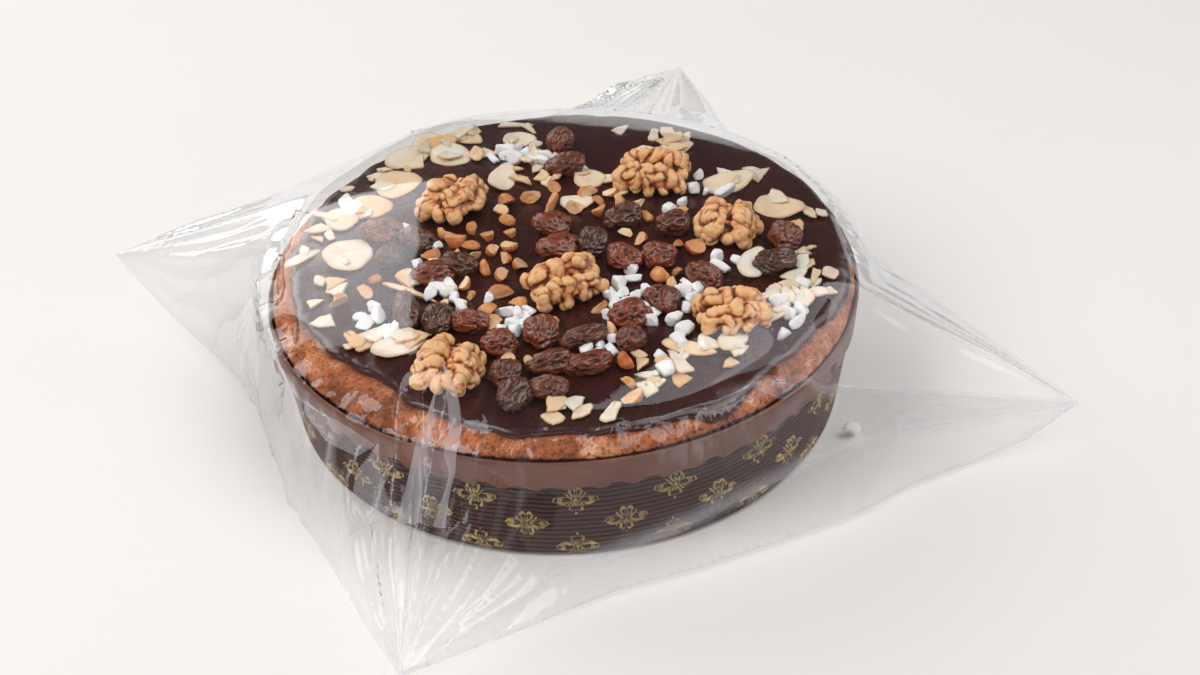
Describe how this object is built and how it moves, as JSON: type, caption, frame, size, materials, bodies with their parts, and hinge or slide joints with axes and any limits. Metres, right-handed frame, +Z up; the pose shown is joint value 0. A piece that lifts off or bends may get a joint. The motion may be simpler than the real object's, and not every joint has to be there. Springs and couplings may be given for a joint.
{
  "type": "chocolate torte in a clear bag",
  "caption": "Round chocolate torte with walnut halves, raisins and flaked almonds on a dark glaze, in a ribbed paper case inside a clear film bag.",
  "frame": {"origin": "middle of the paper case's foot, on the surface it stands on", "axes": "+Z up; the front of the torte, as first seen, is towards -Y; +X to its right"},
  "size_m": [0.3554, 0.3581, 0.0742],
  "materials": {
    "ribbed_paper": "ribbed dark brown baking paper",
    "plain_paper": "smooth mauve-brown paper",
    "chocolate_sponge": "baked sponge crust, finely pored",
    "chocolate_glaze": "poured dark chocolate glaze",
    "walnut": "shelled walnut half",
    "raisin": "wrinkled dried fruit skin",
    "clear_film": "clear glossy packing film"
  },
  "bodies": {
    "root": {"baking_case": "ribbed_paper", "collar": "plain_paper", "sponge": "chocolate_sponge", "glaze": "chocolate_glaze", "film_bag": "clear_film", "walnut_1": "walnut", "walnut_2": "walnut", "walnut_3": "walnut", "walnut_4": "walnut", "walnut_5": "walnut", "walnut_6": "walnut", "raisin_01": "raisin", "raisin_02": "raisin", "raisin_03": "raisin", "raisin_04": "raisin", "raisin_05": "raisin", "raisin_06": "raisin", "raisin_07": "raisin", "raisin_08": "raisin", "raisin_09": "raisin", "raisin_10": "raisin", "raisin_11": "raisin", "raisin_12": "raisin", "raisin_13": "raisin", "raisin_14": "raisin", "raisin_15": "raisin", "raisin_16": "raisin", "raisin_17": "raisin", "raisin_18": "raisin", "raisin_19": "raisin", "raisin_20": "raisin", "raisin_21": "raisin", "raisin_22": "raisin", "raisin_23": "raisin", "raisin_24": "raisin", "raisin_25": "raisin", "raisin_26": "raisin", "raisin_27": "raisin", "raisin_28": "raisin", "raisin_29": "raisin", "raisin_30": "raisin", "raisin_31": "raisin"}
  },
  "joints": []
}
